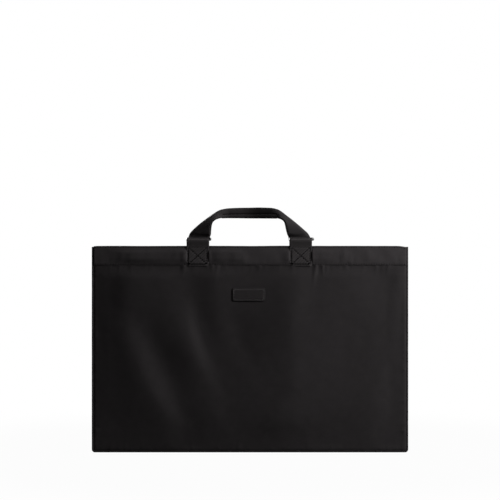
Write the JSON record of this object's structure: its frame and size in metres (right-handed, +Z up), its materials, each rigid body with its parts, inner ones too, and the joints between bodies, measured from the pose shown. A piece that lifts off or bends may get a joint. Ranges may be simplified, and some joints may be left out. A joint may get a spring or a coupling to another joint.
{
  "type": "portfolio case",
  "caption": "Flat black fabric portfolio case with padded walls, a stitched hem, a recessed zip and webbing handles on wire rings.",
  "frame": {"origin": "middle of the base, on the surface that the case stands on", "axes": "+X to the right along the case's width, -Y out of the front wall that carries the label, +Z up to the handles"},
  "size_m": [0.56, 0.0422, 0.4332],
  "materials": {
    "shell_fabric": "plain-woven black nylon, matt",
    "piping": "black fabric-covered cord",
    "foam": "thin grey padding, hidden",
    "board": "stiff board, hidden",
    "lining": "smooth black lining cloth",
    "webbing": "black ribbed webbing",
    "ring_metal": "gloss black wire",
    "zip_tape": "black zip tape",
    "zip_coil": "black nylon coil",
    "zip_metal": "satin black plated zinc",
    "label_leather": "blank black leather, slightly glossy",
    "thread": "black thread"
  },
  "bodies": {
    "case": {"front_panel": "shell_fabric", "rear_panel": "shell_fabric", "front_hem_band": "shell_fabric", "rear_hem_band": "shell_fabric", "left_side_gusset": "shell_fabric", "right_side_gusset": "shell_fabric", "base_gusset": "shell_fabric", "zip_end_tabs": "shell_fabric", "front_piping": "piping", "rear_piping": "piping", "front_foam": "foam", "rear_foam": "foam", "front_board": "board", "rear_board": "board", "base_board": "board", "front_lining": "lining", "rear_lining": "lining", "left_side_lining": "lining", "right_side_lining": "lining", "base_lining": "lining", "inner_pocket": "lining", "front_left_tab": "webbing", "front_right_tab": "webbing", "rear_left_tab": "webbing", "rear_right_tab": "webbing", "zip_tape_ends": "zip_tape", "zip_stops": "zip_metal", "label_patch": "label_leather", "label_stitching": "thread", "front_hem_stitching": "thread", "rear_hem_stitching": "thread", "front_tab_stitching": "thread", "rear_tab_stitching": "thread"},
    "front_rings": {"front_left_ring": "ring_metal", "front_right_ring": "ring_metal"},
    "rear_rings": {"rear_left_ring": "ring_metal", "rear_right_ring": "ring_metal"},
    "front_handle": {"front_handle": "webbing"},
    "rear_handle": {"rear_handle": "webbing"},
    "front_zip_strip": {"front_zip_tape": "zip_tape", "front_zip_coil": "zip_coil"},
    "rear_zip_strip": {"rear_zip_tape": "zip_tape", "rear_zip_coil": "zip_coil"},
    "zip_slider": {"zip_slider": "zip_metal"},
    "zip_pull": {"zip_pull": "zip_metal"}
  },
  "joints": [
    {"name": "front_rings_tilt", "type": "hinge", "parent": "case", "child": "front_rings", "pos_m": [0, -0.0182, 0.376], "axis": [1, 0, 0], "range_deg": [0, 98]},
    {"name": "front_handle_swing", "type": "hinge", "parent": "front_rings", "child": "front_handle", "pos_m": [0, -0.00861, 0.37949], "axis": [1, 0, 0], "range_deg": [0, 80]},
    {"name": "front_zip_fold", "type": "hinge", "parent": "case", "child": "front_zip_strip", "pos_m": [0, -0.01, 0.352], "axis": [-1, 0, 0], "range_deg": [0, 80]},
    {"name": "rear_rings_tilt", "type": "hinge", "parent": "case", "child": "rear_rings", "pos_m": [0, 0.0182, 0.376], "axis": [-1, 0, 0], "range_deg": [0, 98]},
    {"name": "rear_handle_swing", "type": "hinge", "parent": "rear_rings", "child": "rear_handle", "pos_m": [0, 0.00861, 0.37949], "axis": [-1, 0, 0], "range_deg": [0, 80]},
    {"name": "rear_zip_fold", "type": "hinge", "parent": "case", "child": "rear_zip_strip", "pos_m": [0, 0.01, 0.352], "axis": [1, 0, 0], "range_deg": [0, 80]},
    {"name": "zip_slider_slide", "type": "slide", "parent": "case", "child": "zip_slider", "axis": [-1, 0, 0], "range_m": [0, 0.4926]},
    {"name": "zip_pull_flip", "type": "hinge", "parent": "zip_slider", "child": "zip_pull", "pos_m": [0.2463, 0, 0.35555], "axis": [0, 1, 0], "range_deg": [0, 170]}
  ]
}
